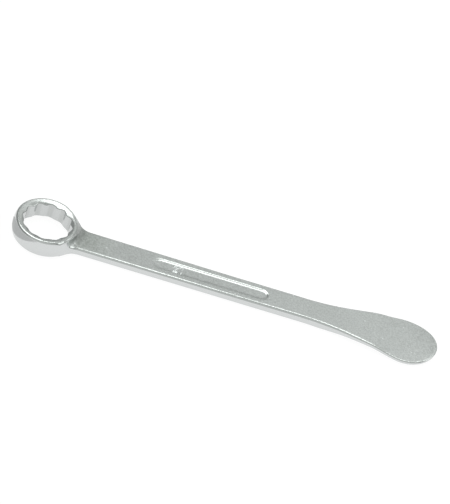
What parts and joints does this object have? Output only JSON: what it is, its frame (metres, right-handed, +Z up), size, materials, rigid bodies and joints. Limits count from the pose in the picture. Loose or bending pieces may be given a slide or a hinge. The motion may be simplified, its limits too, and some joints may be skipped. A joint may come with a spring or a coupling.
{
  "type": "ring spanner with tyre lever",
  "caption": "One-piece forged ring spanner for large axle nuts, with a flat shank that ends in a spoon-shaped tyre lever.",
  "frame": {"origin": "centre of the ring's drive opening, on the flat underside that the spanner lies on", "axes": "+X along the shank from the ring to the tip of the spoon, +Z up along the drive opening's axis"},
  "size_m": [0.2661, 0.0402, 0.0124],
  "materials": {
    "satin_chrome": "satin chrome plate over fine shot-blasted forged steel, with smoother side walls"
  },
  "bodies": {
    "root": {"spanner_forging": "satin_chrome"}
  },
  "joints": []
}
